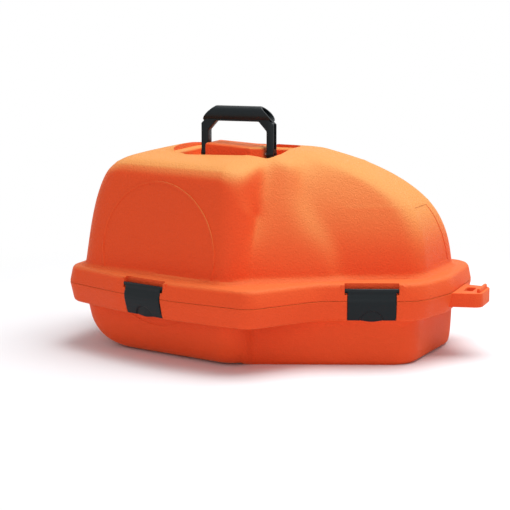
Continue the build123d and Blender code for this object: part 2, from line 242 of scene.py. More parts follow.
def turned(points, place):
    """Local (across, inward, up) points moved to a latch's place on the rim."""
    (x, y), (run, rise) = place
    along = np.array((run, rise)) / math.hypot(run, rise)
    inward = np.array((-along[1], along[0]))
    plan = np.array((x, y)) + points[:, :1] * along + points[:, 1:2] * inward
    return np.column_stack([plan, points[:, 2]])


def stacked(name, rings, place=None):
    """A closed solid with one ring of points over another, or the same at a latch's place."""
    if place:
        rings = [turned(ring, place) for ring in rings]
    count = len(rings[0])
    faces = [list(range(count))[::-1]]
    for level in range(len(rings) - 1):
        low = level * count
        for j in range(count):
            k = (j + 1) % count
            faces.append([low + j, low + k, low + count + k, low + count + j])
    faces.append([count * (len(rings) - 1) + j for j in range(count)])
    return mesh_of(name, np.vstack(rings), faces)


def made_plain(thing):
    """Keeps what the thing's modifiers make of it as a plain mesh."""
    bpy.context.view_layer.update()
    graph = bpy.context.evaluated_depsgraph_get()
    mesh = bpy.data.meshes.new_from_object(thing.evaluated_get(graph))
    thing.modifiers.clear()
    thing.data = mesh
    return thing


def facing_out(thing):
    """Joins points that coincide and turns every face outwards."""
    build = bmesh.new()
    build.from_mesh(thing.data)
    bmesh.ops.remove_doubles(build, verts=build.verts, dist=0.00001)
    bmesh.ops.recalc_face_normals(build, faces=build.faces)
    build.to_mesh(thing.data)
    build.free()
    return thing


def cut_and_joined(thing, steps):
    """Takes solids from the thing, or adds them, in the order given."""
    for operation, other in steps:
        change = thing.modifiers.new(operation, "BOOLEAN")
        change.operation = operation
        change.solver = "MANIFOLD"
        change.object = other
    made_plain(thing)
    for _, other in steps:
        bpy.data.objects.remove(other)
    return thing


def smooth_with_edges(thing, degrees):
    """Smooth shading with the edges over that angle kept sharp."""
    mesh = thing.data
    build = bmesh.new()
    build.from_mesh(mesh)
    bmesh.ops.remove_doubles(build, verts=build.verts, dist=0.00002)
    bmesh.ops.dissolve_degenerate(build, edges=build.edges, dist=0.00002)
    build.to_mesh(mesh)
    build.free()
    mesh.shade_smooth()
    mesh.set_sharp_from_angle(angle=math.radians(degrees))


def covered(thing, material):
    """One material on the whole piece."""
    thing.data.materials.clear()
    thing.data.materials.append(material)
    for polygon in thing.data.polygons:
        polygon.material_index = 0


def loop_levels(outline, levels):
    """Rings of one plan outline at each (height, inset)."""
    return [at_height(drawn_in(outline, inset), height) for height, inset in levels]


def risen(name, outline, levels):
    """A solid that rises through the levels of one plan outline."""
    return stacked(name, loop_levels(outline, levels))


def block_between(name, low, high, place=None):
    """A box between two corners, upright or at a latch's place."""
    plan = [(low[0], low[1]), (high[0], low[1]), (high[0], high[1]), (low[0], high[1])]
    return stacked(name, [at_height(plan, z) for z in (low[2], high[2])], place)


def extruded(name, outline, x_low, x_high, place=None):
    """An outline of (depth, height) points drawn out along X or along a latch."""
    outline = np.asarray(outline, float)
    area = np.sum(outline[:, 0] * np.roll(outline[:, 1], -1) - np.roll(outline[:, 0], -1) * outline[:, 1])
    if area < 0:
        outline = outline[::-1]
    rings = [np.column_stack([np.full(len(outline), float(x)), outline]) for x in (x_low, x_high)]
    return stacked(name, rings, place)


latch_places = {
    "left_latch": ((-150.0, -171.0), (110.0, -38.0)),
    "right_latch": ((184.6, -85.4), (140.0, 51.0)),
}
latch_width = 72.0
latch_play = 0.8
pocket_half = latch_width / 2 + latch_play
pocket_depth = 11.0
seat_depth = pocket_depth + wall
bar_width = 80.0
stub_length = 3.2
# the cuts for the latches run past the rim's outside and top
cut_out = -30.0
cut_top = 230.0
hinge_y = 200.5
leaf_y = 187.4
hinge_places = (-190.0, 150.0)
knuckle_radius = 7.0
knuckle_length = 22.0
knuckle_gap = 0.5

tray_blocks = faired(tray_block_rows)
tray_domes = faired(tray_dome_rows)


def tray_reach(height):
    block = reach(block_outline(row_at(tray_blocks, height)), rays)
    dome = reach(dome_outline(row_at(tray_domes, height), -10, tray_dome_feet), rays)
    return merged(block, dome, tray_valley)


# levels from the flat bottom up to the rim, close together where the bottom rounds off
tray_heights = np.concatenate([
    [0, 0.25, 0.7, 1.3, 2.1, 3.1, 4.3, 5.8, 7.6, 9.8, 12.4, 15.4, 19, 23.2, 28],
    np.linspace(33, rim_low, 9),
])
tray_reaches = np.array([tray_reach(z) for z in tray_heights])
rim_face_low = rim_low + 5
foot_in = (parting - rim_face_low) * rim_taper
rim_profile_low = [
    (rim_low, foot_in + 6.5), (rim_low + 0.1, foot_in + 4.9), (rim_low + 0.8, foot_in + 3.2),
    (rim_low + 2.4, foot_in + 1.3), (rim_face_low, foot_in + 0.1),
    (rim_face_low + 2.5, foot_in - 2.5 * rim_taper), (parting - 14, 14 * rim_taper),
    (parting - 2.2, 2.2 * rim_taper), (parting - 0.9, 0.45), (parting - 0.25, 0.75), (parting, 1.3),
]
tray_rings = []
for z, reaches in zip(tray_heights, tray_reaches):
    fillet = rim_fillet * max(0.0, 1 + (z - rim_low) / rim_fillet_run) ** 2
    tray_rings.append(ring_at(reaches + fillet, z))
for z, inset in rim_profile_low:
    tray_rings.append(ring_at(rim_reach(inset), z))
tray = stacked("base_tray", tray_rings)

# the inside, drawn in by a little more than the wall because the skin leans
tray_inside = []
for z, reaches in zip(tray_heights, tray_reaches):
    if 0 < z < rim_low:
        tray_inside.append(ring_at(reaches - wall * 1.03, z + wall))
tray_inside += [
    ring_at(rim_reach((parting - rim_low) * rim_taper + 5 + wall), rim_low + wall),
    ring_at(rim_reach(wall + 14 * rim_taper), parting - 14),
    ring_at(rim_reach(wall), parting - 1),
    ring_at(rim_reach(wall), parting + 10),
]
steps = [("DIFFERENCE", stacked("tray_inside", tray_inside))]


def shape_tree(name, labels):
    """A node tree with its inputs, whose end makes the shape real and gives it a material."""
    tree = bpy.data.node_groups.new(name, "GeometryNodeTree")
    sockets = {}
    for label, kind in [*labels, ("Material", "Material")]:
        socket = tree.interface.new_socket(label, in_out="INPUT", socket_type="NodeSocket" + kind)
        sockets[label] = socket.identifier
    tree.interface.new_socket("Shape", in_out="OUTPUT", socket_type="NodeSocketGeometry")
    given = tree.nodes.new("NodeGroupInput")
    real = tree.nodes.new("GeometryNodeRealizeInstances")
    paint = tree.nodes.new("GeometryNodeSetMaterial")
    result = tree.nodes.new("NodeGroupOutput")
    tree.links.new(real.outputs["Geometry"], paint.inputs["Geometry"])
    tree.links.new(given.outputs["Material"], paint.inputs["Material"])
    tree.links.new(paint.outputs["Geometry"], result.inputs["Shape"])
    return tree, sockets, given, real


def sweep_tree():
    """A slab drawn along a path, for ridges and lips."""
    labels = [("Path", "Geometry"), ("Width", "Float"), ("Height", "Float")]
    tree, sockets, given, real = shape_tree("ridge_along_path", labels)
    path = tree.nodes.new("GeometryNodeMeshToCurve")
    upright = tree.nodes.new("GeometryNodeSetCurveNormal")
    upright.mode = "Z_UP"
    outline = tree.nodes.new("GeometryNodeCurvePrimitiveQuadrilateral")
    sweep = tree.nodes.new("GeometryNodeCurveToMesh")
    sweep.inputs["Fill Caps"].default_value = True
    link = tree.links.new
    link(given.outputs["Path"], path.inputs["Mesh"])
    link(path.outputs["Curve"], upright.inputs["Curve"])
    link(upright.outputs["Curve"], sweep.inputs["Curve"])
    link(given.outputs["Width"], outline.inputs["Width"])
    link(given.outputs["Height"], outline.inputs["Height"])
    link(outline.outputs["Curve"], sweep.inputs["Profile Curve"])
    link(sweep.outputs["Mesh"], real.inputs["Geometry"])
    return tree, sockets


along_path = sweep_tree()


def made_by(maker, thing, values):
    """Runs a node tree on the thing and keeps the result as a plain mesh."""
    tree, sockets = maker
    change = thing.modifiers.new("make", "NODES")
    change.node_group = tree
    for name, value in values.items():
        change[sockets[name]] = value
    return facing_out(made_plain(thing))


def path_of(name, points, closed):
    edges = [(i, i + 1) for i in range(len(points) - 1)]
    if closed:
        edges.append((len(points) - 1, 0))
    mesh = bpy.data.meshes.new(name)
    mesh.from_pydata((np.asarray(points) / 1000).tolist(), edges, [])
    return placed(name, mesh)


# the lip on the rim, which the lid fits over, and the foot that carries it
lip_inset = 7.1
lip_thick = 3.0
lip_tall = 11.0
lip_count = 300
lip_plan = spaced(drawn_in(rim_fine, lip_inset), lip_count)
lip_path = path_of("lip", at_height(lip_plan, parting - 0.5), True)
lip_size = {"Width": lip_thick / 1000, "Height": lip_tall / 1000}
steps.append(("UNION", made_by(along_path, lip_path, lip_size)))
foot_out, foot_back = wall - 1, lip_inset + lip_thick / 2
lip_foot = risen("lip_foot", rim_plan, [(parting - 6, foot_out), (parting - 0.4, foot_out)])
lip_hole = risen("lip_hole", rim_plan, [(parting - 9, foot_back), (parting + 3, foot_back)])
steps.append(("UNION", cut_and_joined(lip_foot, [("DIFFERENCE", lip_hole)])))

# the tab: hollow from below, with a slot for a strap and a ridge at its outer edge
tab_low = 80.0
tab_wall = 4.0
tab_y = 66.0
slot_x = 296.0
slot_half = (7.0, 15.0)
tab_plan = filleted([(270, 24), (322, 34), (322, 98), (270, 108)], [0.5, 14, 14, 0.5], 12)
tab = risen("tab", tab_plan, [
    (tab_low, 1.2), (tab_low + 0.4, 0.4), (tab_low + 1.2, 0),
    (parting - 1.4, 0), (parting - 0.4, 0.4), (parting, 1.2),
])
tab_hollow = risen("tab_hollow", tab_plan, [(tab_low - 10, tab_wall), (parting - tab_wall, tab_wall)])
wall_plan = oblong(slot_x, tab_y, slot_half[0] + tab_wall, slot_half[1] + tab_wall, 6)
slot_wall = risen("slot_wall", wall_plan, [(tab_low + 0.6, 0), (parting - 1, 0)])
slot_hole = risen("slot_hole", oblong(slot_x, tab_y, *slot_half, 3), [
    (tab_low - 10, 0), (parting - 1.2, 0), (parting - 0.4, -0.4), (parting + 1, -1.6),
])
tab = cut_and_joined(tab, [("DIFFERENCE", tab_hollow), ("UNION", slot_wall), ("DIFFERENCE", slot_hole)])
tab_ridge = risen("tab_ridge", oblong(315, tab_y, 3, 25, 2.5), [
    (parting - 2, 0), (parting + 4.5, 0.5), (parting + 5.6, 1.1), (parting + 6, 2),
])
inside_again = stacked("tray_inside_again", tray_inside[-4:])
tab = cut_and_joined(tab, [("DIFFERENCE", inside_again), ("UNION", tab_ridge)])
steps.append(("UNION", tab))

# a thick place behind each latch, then its pocket in the rim
for name, place in latch_places.items():
    half = pocket_half + wall
    section = [(wall, parting), (seat_depth, parting), (seat_depth, rim_low), (wall * 2.8, rim_low)]
    steps.append(("UNION", extruded("seat", section, -half, half, place)))
    low, high = (-pocket_half, cut_out, rim_low - wall), (pocket_half, pocket_depth, cut_top)
    steps.append(("DIFFERENCE", block_between("pocket", low, high, place)))
    half = bar_width / 2 + 2 * stub_length + latch_play
    low, high = (-half, wall - latch_play, parting), (half, seat_depth + latch_play, cut_top)
    steps.append(("DIFFERENCE", block_between("clearance", low, high, place)))


def row_tree():
    """One solid repeated in a row along X, for knuckles and ribs."""
    labels = [("Solid", "Geometry"), ("Count", "Int"), ("Pitch", "Float")]
    tree, sockets, given, real = shape_tree("row_of_solids", labels)
    away = tree.nodes.new("ShaderNodeCombineXYZ")
    line = tree.nodes.new("GeometryNodeMeshLine")
    line.mode = "OFFSET"
    copies = tree.nodes.new("GeometryNodeInstanceOnPoints")
    link = tree.links.new
    link(given.outputs["Pitch"], away.inputs["X"])
    link(given.outputs["Count"], line.inputs["Count"])
    link(away.outputs["Vector"], line.inputs["Offset"])
    link(line.outputs["Mesh"], copies.inputs["Points"])
    link(given.outputs["Solid"], copies.inputs["Instance"])
    link(copies.outputs["Instances"], real.inputs["Geometry"])
    return tree, sockets


in_row = row_tree()


def knuckle_outline(up):
    """Section of a hinge knuckle: a round eye and the leaf that carries it."""
    turn = np.radians(np.linspace(-90, 135, 28) if up > 0 else np.linspace(90, -135, 28))
    eye = np.stack([hinge_y + knuckle_radius * np.cos(turn), parting + knuckle_radius * np.sin(turn)], 1)
    root = parting + 0.4 * up
    leaf = [(leaf_y, parting + 20 * up), (leaf_y, root), (hinge_y - 7.4, root)]
    return np.vstack([eye, leaf, [(hinge_y - 6.4, parting - 2 * up)]])


# two outer knuckles on each hinge, with room for the lid's one between them
for x in hinge_places:
    start = x - 1.5 * knuckle_length - knuckle_gap
    knuckle = extruded("knuckles", knuckle_outline(-1), start, start + knuckle_length)
    pitch = 2 * (knuckle_length + knuckle_gap) / 1000
    steps.append(("UNION", made_by(in_row, knuckle, {"Count": 2, "Pitch": pitch})))

# rest ribs on the floor of the tray
rib_pitch = 0.115
rib_plan = oblong(-170, 25, 2, 60, 1.6, 6)
rib = risen("ribs", rib_plan, [(wall / 2, -0.8), (5, 0), (16.4, 0), (17.8, 0.8)])
steps.append(("UNION", made_by(in_row, rib, {"Count": 3, "Pitch": rib_pitch})))


def bar_slot(low, high):
    """The cut for the guide bar through the left end, between two heights."""
    outline = oblong(60, (low + high) / 2, 20, (high - low) / 2, 12)
    return extruded("bar_slot", outline, -325, -262)


steps.append(("DIFFERENCE", bar_slot(50, 190)))

# the ring line: a thin raised ridge on the block's flat front, carried on from the lid
ring_centre = (-142.0, 160.0)
ring_half_height = 109.8
ring_half_width = ring_half_height * 0.962
ring_size = {"Width": 0.0026, "Height": 0.003}
front_rays = np.where((rays[:, 1] < -0.35) & (rays[:, 0] < 0.4))[0]


def skin_at(heights, reaches, near, axis, at, height):
    """Where those rays' part of a skin lies at a height and a place on one axis."""
    level = np.interp(height, heights, np.arange(len(heights)))
    low = int(min(level, len(heights) - 2))
    part = level - low
    found = []
    for row in (low, low + 1):
        plan = middle + rays[near] * reaches[row][near, None]
        order = np.argsort(plan[:, axis])
        found.append(np.interp(at, plan[order, axis], plan[order, 1 - axis]))
    return found[0] * (1 - part) + found[1] * part


def ring_points(heights, reaches, low, high, sunk):
    """The ring line's points on the front of a skin between two heights."""
    points = []
    for turn in np.radians(np.arange(-90, 270.1, 1.5)):
        x = ring_centre[0] + ring_half_width * math.cos(turn)
        z = ring_centre[1] + ring_half_height * math.sin(turn)
        if low <= z <= high:
            y = skin_at(heights, reaches, front_rays, 0, x, z) + sunk
            points.append((x, y, z))
    return points


# in the tray the points start at the bottom, so the left-hand ones go first
ring = ring_points(tray_heights, tray_reaches, 40, rim_low + 3, 0.4)
split = len(ring) // 2
tray_arc = path_of("ring_line", ring[split:] + ring[:split], False)
steps.append(("UNION", made_by(along_path, tray_arc, ring_size)))

tray = cut_and_joined(tray, steps)
smooth_with_edges(tray, 32)


def feed(tree, socket, value):
    """Gives a socket another one's result, or a number or colour of its own."""
    if isinstance(value, bpy.types.NodeSocket):
        tree.links.new(value, socket)
    else:
        socket.default_value = (*value, 1) if socket.type == "RGBA" else value


def math_of(tree, operation, *values):
    """The result of a math node."""
    node = tree.nodes.new("ShaderNodeMath")
    node.operation = operation
    for socket, value in zip(node.inputs, values):
        feed(tree, socket, value)
    return node.outputs[0]


def ranged(tree, value, start, end, low=0.0, high=1.0, smooth=False):
    """A value brought from one range into another."""
    node = tree.nodes.new("ShaderNodeMapRange")
    node.interpolation_type = "SMOOTHSTEP" if smooth else "LINEAR"
    for label, number in (("From Min", start), ("From Max", end), ("To Min", low), ("To Max", high)):
        node.inputs[label].default_value = number
    tree.links.new(value, node.inputs["Value"])
    return node.outputs["Result"]


def mixed(tree, factor, first, second):
    """A colour between two."""
    node = tree.nodes.new("ShaderNodeMix")
    node.data_type = "RGBA"
    for label, value in (("Factor", factor), ("A", first), ("B", second)):
        feed(tree, node.inputs[label], value)
    return node.outputs["Result"]


def noise_of(tree, place, scale, detail):
    """Noise at a place."""
    node = tree.nodes.new("ShaderNodeTexNoise")
    for label, value in (("Vector", place), ("Scale", scale), ("Detail", detail)):
        feed(tree, node.inputs[label], value)
    return node.outputs["Fac"]


def shader_group(name, inputs, outputs):
    """An empty shader node group with its named sockets."""
    group = bpy.data.node_groups.new(name, "ShaderNodeTree")
    for label, kind in inputs:
        group.interface.new_socket(label, in_out="INPUT", socket_type=kind)
    for label in outputs:
        group.interface.new_socket(label, in_out="OUTPUT", socket_type="NodeSocketFloat")
    return group, group.nodes.new("NodeGroupInput"), group.nodes.new("NodeGroupOutput")


def group_node(tree, group, **values):
    """The outputs of a group's node in a material."""
    node = tree.nodes.new("ShaderNodeGroup")
    node.node_tree = group
    for label, value in values.items():
        feed(tree, node.inputs[label], value)
    return node.outputs


def pebble_grain():
    """Fine pebbled skin of moulded plastic: height of soft round bumps."""
    sockets = [("Position", "NodeSocketVector"), ("Scale", "NodeSocketFloat")]
    group, given, result = shader_group("pebble_grain", sockets, ["Height"])
    place, scale = given.outputs["Position"], given.outputs["Scale"]
    cells = group.nodes.new("ShaderNodeTexVoronoi")
    cells.feature = "SMOOTH_F1"
    cells.inputs["Smoothness"].default_value = 0.6
    group.links.new(place, cells.inputs["Vector"])
    group.links.new(scale, cells.inputs["Scale"])
    noise = noise_of(group, place, math_of(group, "MULTIPLY", scale, 0.6), 2.0)
    height = math_of(group, "SUBTRACT", noise, cells.outputs["Distance"])
    group.links.new(height, result.inputs["Height"])
    return group


def worn_edges():
    """How strongly outer edges are rubbed, broken up by noise, and broad faint patches."""
    sockets = [("Position", "NodeSocketVector")]
    group, given, result = shader_group("worn_edges", sockets, ["Wear", "Patches"])
    place = given.outputs["Position"]
    shape = group.nodes.new("ShaderNodeNewGeometry")
    edge = ranged(group, shape.outputs["Pointiness"], 0.53, 0.65)
    wear = math_of(group, "MULTIPLY", edge, noise_of(group, place, 60.0, 4.0))
    group.links.new(wear, result.inputs["Wear"])
    group.links.new(noise_of(group, place, 9.0, 3.0), result.inputs["Patches"])
    return group


def painted_top_light():
    """How much painted light a place takes: more where it is turned up and a little where it is turned
    right, less low on the case, and less on the island's top, where the grip's shade is painted.
    """
    sockets = [("Position", "NodeSocketVector"), ("Normal", "NodeSocketVector")]
    group, given, result = shader_group("painted_top_light", sockets, ["Share"])
    facing = group.nodes.new("ShaderNodeSeparateXYZ")
    place = group.nodes.new("ShaderNodeSeparateXYZ")
    group.links.new(given.outputs["Normal"], facing.inputs[0])
    group.links.new(given.outputs["Position"], place.inputs[0])
    # painted light: surfaces turned up, and a little those turned right, take the paler lit colour
    turned_up = math_of(group, "MULTIPLY_ADD", facing.outputs["X"], 0.22, facing.outputs["Z"])
    turned_up = ranged(group, turned_up, 0.2, 0.92, smooth=True)
    # painted shade: less of it low on the case, and on the island's top under the grip
    high_up = ranged(group, place.outputs["Z"], 0.13, 0.20, 0.3, 1.0)
    outside_grip_shade = ranged(group, place.outputs["Z"], 0.3182, 0.3192, 1.0, 0.3)
    lit_part = math_of(group, "MULTIPLY", high_up, outside_grip_shade)
    group.links.new(math_of(group, "MULTIPLY", turned_up, lit_part), result.inputs["Share"])
    return group


grain_group = pebble_grain()
wear_group = worn_edges()
top_light_group = painted_top_light()


def plain_material(name):
    """A new material with its node tree and its shader."""
    material = bpy.data.materials.new(name)
    material.use_nodes = True
    return material, material.node_tree, material.node_tree.nodes["Principled BSDF"]


def moulded_plastic(name, colour, painted_lit_colour, pale, rough, grain_scale, grain_height, wear_share):
    """Moulded plastic with its grain, faint patches and rubbed edges, and a paler, yellower top that is
    painted light.
    """
    material, tree, shader = plain_material(name)
    place = tree.nodes.new("ShaderNodeTexCoord").outputs
    grain = group_node(tree, grain_group, Position=place["Object"], Scale=grain_scale)
    wear = group_node(tree, wear_group, Position=place["Object"])
    top_light = group_node(tree, top_light_group, Position=place["Object"], Normal=place["Normal"])
    darker, lighter = ([min(1, c * share) for c in colour] for share in (0.96, 1.04))
    tint = mixed(tree, wear["Patches"], darker, lighter)
    # painted light: turned-up places high on the case take the paler lit colour
    tint = mixed(tree, top_light["Share"], tint, painted_lit_colour)
    tint = mixed(tree, math_of(tree, "MULTIPLY", wear["Wear"], wear_share), tint, pale)
    tree.links.new(tint, shader.inputs["Base Color"])
    gloss = ranged(tree, wear["Patches"], 0.3, 0.7, rough - 0.04, rough + 0.05)
    tree.links.new(gloss, shader.inputs["Roughness"])
    bump = tree.nodes.new("ShaderNodeBump")
    bump.inputs["Distance"].default_value = grain_height
    tree.links.new(grain["Height"], bump.inputs["Height"])
    tree.links.new(bump.outputs["Normal"], shader.inputs["Normal"])
    return material


# the second colour is painted light, taken by surfaces turned up
orange = moulded_plastic(
    "orange_moulded_plastic",
    colour=(0.79, 0.078, 0.018), painted_lit_colour=(0.73, 0.30, 0.085), pale=(0.9, 0.22, 0.05),
    rough=0.56, grain_scale=420.0, grain_height=0.0006, wear_share=0.3)
orange_shader = orange.node_tree.nodes["Principled BSDF"]
orange_shader.inputs["Specular IOR Level"].default_value = 0.12
orange_shader.inputs["Sheen Weight"].default_value = 0.22
orange_shader.inputs["Sheen Roughness"].default_value = 0.4
orange_shader.inputs["Sheen Tint"].default_value = (1.0, 0.5, 0.16, 1)
covered(tray, orange)
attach(tray, "base")
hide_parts("base_shell")

# Lid: the second orange moulding. A tall block at the left, a lower dome that
# falls away to the right, and a tent-shaped bulge in the valley between them.
# The handle sits in a well round an island at the crown. Heights in these rows
# are over the parting line.
lid_low = 0.4
rim_top = 26.0
lid_height = 216.0
block_rows = [
    (20, -297, 8, 0, 0), (115, -282, 8, 10, 8), (178, -256, 8, 18, 18), (198, -228, 6, 38, 40),
    (207, -195, 2, 90, 64), (lid_height, -150, -18, 95, 98),
]
dome_rows = [(20, 259, 0), (68, 252, 10), (112, 235, 26), (153, 195, 49), (188, 128, 76), (212, 50, 108)]
dome_feet = ((-6, -130), (236, -14))
bulge_rows = [
    (20, 14, -138, 102), (70, 14, -122, 84), (106, 22, -104, 50), (146, 30, -84, 22),
    (192, 32, -62, 16), (208, 22, -52, 12),
]
lid_blocks = faired(block_rows)
lid_domes = faired(dome_rows)
lid_bulges = faired(bulge_rows)
dome_top = dome_rows[-1][0]
bulge_top = bulge_rows[-1][0]
dome_valley = 40.0
block_valley = 30.0
lid_fillet = 6.0
lid_fillet_run = 7.0
inside_top = 207.0


def bulge_outline(row):
    """The bulge's plan: a blunt corner at (x, y) and a side that runs off to the right."""
    _, x, y, run = row
    right_x = x + run
    right_y = y + run * 0.65
    corners = [(x - 60, y + 20), (x, y), (right_x, right_y), (right_x - 8, right_y + 50)]
    return filleted(corners, [13] * 4)


def softened(grid, turns_up, turns_round):
    """The reaches with their steps between neighbours evened out."""
    for _ in range(turns_round):
        grid = 0.5 * grid + 0.25 * (np.roll(grid, 1, 1) + np.roll(grid, -1, 1))
    for _ in range(turns_up):
        inner = 0.5 * grid[1:-1] + 0.25 * (grid[:-2] + grid[2:])
        grid = np.vstack([grid[:1], inner, grid[-1:]])
    return grid


def lid_reach(height):
    block = reach(block_outline(row_at(lid_blocks, height)), rays)
    if height >= dome_top:
        return block
    dome = reach(dome_outline(row_at(lid_domes, height), -20, dome_feet), rays)
    if height < bulge_top:
        dome = merged(dome, reach(bulge_outline(row_at(lid_bulges, height)), rays), dome_valley)
    return merged(block, dome, block_valley)


lid_levels = np.concatenate([
    np.linspace(rim_top, 130, 27), np.linspace(130, 190, 22)[1:], np.linspace(190, 212, 17)[1:],
    [213, 213.8, 214.4, 214.9, 215.3, 215.6, 215.8, 215.9, lid_height],
])
lid_reaches = softened(np.array([lid_reach(z) for z in lid_levels]), 3, 2)
rim_face_top = rim_top - 5
face_in = rim_face_top * rim_taper
rim_profile = [
    (lid_low, 1.3), (lid_low + 0.25, 0.75), (lid_low + 0.9, 0.45), (2.4, 2.4 * rim_taper),
    (12, 12 * rim_taper), (rim_face_top - 2, (rim_face_top - 2) * rim_taper),
    (rim_face_top + 0.4, face_in + 0.35), (rim_face_top + 2.4, face_in + 1.6),
    (rim_face_top + 4.1, face_in + 3.5), (rim_top - 0.1, face_in + 5.6), (rim_top, face_in + 7.6),
]

# the skin over the rim, with a hollow fillet at its foot
dome_rings = []
for z, reaches in zip(lid_levels, lid_reaches):
    fillet = lid_fillet * max(0.0, 1 - (z - rim_top) / lid_fillet_run) ** 2
    dome_rings.append(ring_at(reaches + fillet, parting + z))


def valley_softened(rings, turns):
    """The skin rounded over where the block, the bulge and the dome run together."""
    skin = np.array(rings)
    # the share fades out at the valley's left, right, front, back and foot
    left_end = 12 - 42 * np.clip((skin[:, :, 2:] - 225) / 45, 0, 1)
    from_left = np.clip((skin[:, :, :1] - left_end) / 24, 0, 1)
    from_right = np.clip((126 - skin[:, :, :1]) / 40, 0, 1)
    depth = np.clip(1.6 - np.abs(skin[:, :, 1:2] + 75) / 60, 0, 1)
    height = np.clip((skin[:, :, 2:] - 138) / 25, 0, 1)
    share = 0.5 * from_left * from_right * depth * height
    share[0] = share[-1] = 0
    for _ in range(turns):
        around_it = np.roll(skin, 1, 1) + np.roll(skin, -1, 1)
        over_it = np.zeros_like(skin)
        over_it[1:-1] = skin[2:] + skin[:-2]
        skin = skin + share * ((around_it + over_it) / 4 - skin)
    return list(skin)


lid_rings = [ring_at(rim_reach(inset), parting + z) for z, inset in rim_profile]
dome_rings = valley_softened(dome_rings, 110)
lid = stacked("lid_dome", lid_rings + dome_rings)

# the inside, drawn in from the skin by the wall; it stops under the well
inside = [
    ring_at(rim_reach(wall), parting - 6), ring_at(rim_reach(wall), parting + 2),
    ring_at(rim_reach(wall + 20 * rim_taper), parting + rim_top - wall - 2),
    ring_at(rim_reach(wall + face_in + 6), parting + rim_top - wall),
]
for z, skin in list(zip(lid_levels, dome_rings))[::2]:
    if z < inside_top:
        plan = skin[:, :2] - middle
        far = np.linalg.norm(plan, axis=1)
        drawn = middle + plan * (np.maximum(far - wall * 1.1, 8) / far)[:, None]
        inside.append(np.column_stack([drawn, skin[:, 2] - wall * (0.1 + 1.1 * z / lid_height)]))

# the handle's well, with a tub of its own wall, and the hollow island in it
rod_z = 306.0
handle_x = -57.0
handle_y = -8.0
well_floor = rod_z - 14
well_outline = filleted([(-150, -32), (-124, -54), (12, -54), (12, 74), (-150, 74)], [12] * 5, 10)
island_left = -101.5
island_outline = filleted(
    [(island_left, -40), (-26.5, -40), (-12.5, -26), (-12.5, 22), (island_left, 22)], [5] * 5, 8)
tub = risen("well_tub", well_outline, [(well_floor - wall, -wall), (340, -wall)])
lid_inside = cut_and_joined(stacked("lid_inside", inside), [("DIFFERENCE", tub)])
well_cut = risen("well_cut", well_outline, [
    (well_floor, 4), (well_floor + 0.5, 2), (well_floor + 1.6, 0.8), (well_floor + 4, 0), (303, 0),
    (304.6, -0.3), (306, -1.1), (307.2, -2.6), (308, -4.6), (309, -7), (335, -12),
])
island_rings = loop_levels(island_outline, [
    (well_floor - 2, -3), (well_floor, -2.4), (well_floor + 1, -0.9), (well_floor + 3, 0), (316.5, 0),
    (318.4, 0.5), (319.7, 1.6), (320.4, 3.2), (320.6, 5.5),
])
# the island's top falls away to the right
for ring in island_rings[4:]:
    ring[:, 2] += 3.6 - (ring[:, 0] - island_left) * 0.064
island = stacked("island", island_rings)
island_hollow = block_between("island_hollow", (-97.9, -26, 285), (-16.1, 8, 309.4))
steps = [
    ("DIFFERENCE", lid_inside), ("DIFFERENCE", well_cut), ("UNION", island), ("DIFFERENCE", island_hollow),
]

# ledge behind each latch, the pocket through it, and the notch for the latch's bar
for name, place in latch_places.items():
    half = bar_width / 2 + 2 * stub_length
    low, high = (-half, wall, parting + lid_low), (half, seat_depth, parting + rim_top - 1.8)
    steps.append(("UNION", block_between("ledge", low, high, place)))
    low, high = (-pocket_half, cut_out, parting - 3), (pocket_half, pocket_depth, cut_top)
    steps.append(("DIFFERENCE", block_between("pocket", low, high, place)))
    half = bar_width / 2 + 0.4
    low, high = (-half, cut_out, parting + 9.6), (half, pocket_depth, cut_top)
    steps.append(("DIFFERENCE", block_between("notch", low, high, place)))

# the middle knuckle of each hinge
for x in hinge_places:
    half = knuckle_length / 2
    steps.append(("UNION", extruded("knuckle", knuckle_outline(1), x - half, x + half)))

steps.append(("DIFFERENCE", bar_slot(36, 168)))

# ring line on the block's flat front
ring = ring_points(lid_levels + parting, lid_reaches, parting + rim_top - 3, 300, 0.35)
lid_arc = path_of("ring_line", ring, False)
steps.append(("UNION", made_by(along_path, lid_arc, ring_size)))


def slab(name, points, rows, columns):
    """A closed slab whose two sides are grids of points, one after the other."""
    layer = rows * columns
    faces = []
    for i in range(rows - 1):
        for j in range(columns - 1):
            a = i * columns + j
            faces.append([a, a + 1, a + columns + 1, a + columns])
            faces.append([layer + a, layer + a + columns, layer + a + columns + 1, layer + a + 1])
    border = list(range(columns)) + [i * columns + columns - 1 for i in range(1, rows)]
    border += [layer - columns + j for j in range(columns - 2, -1, -1)]
    border += [i * columns for i in range(rows - 2, 0, -1)]
    for a, b in zip(border, border[1:] + border[:1]):
        faces.append([a, b, layer + b, layer + a])
    return facing_out(mesh_of(name, points, faces))


# shallow panel for a label on the dome's right end, wider towards its foot
end_rays = np.where(rays[:, 0] > 0.55)[0]
panel_depth = 0.8
panel_low, panel_high = 140, 228
panel_front, panel_back = 34, 86
panel_rows, panel_columns = 23, 21
panel_points = []
for out in (-panel_depth, 30):
    for z in np.linspace(panel_low, panel_high, panel_rows):
        for y in np.linspace(panel_front, panel_back + (panel_high - z) * 0.2, panel_columns):
            x = skin_at(lid_levels, lid_reaches, end_rays, 1, y, z - parting) + out
            panel_points.append((x, y, z))
steps.append(("DIFFERENCE", slab("panel", panel_points, panel_rows, panel_columns)))

lid = cut_and_joined(lid, steps)
smooth_with_edges(lid, 32)
covered(lid, orange)
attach(lid, "lid")
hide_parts("lid_shell")

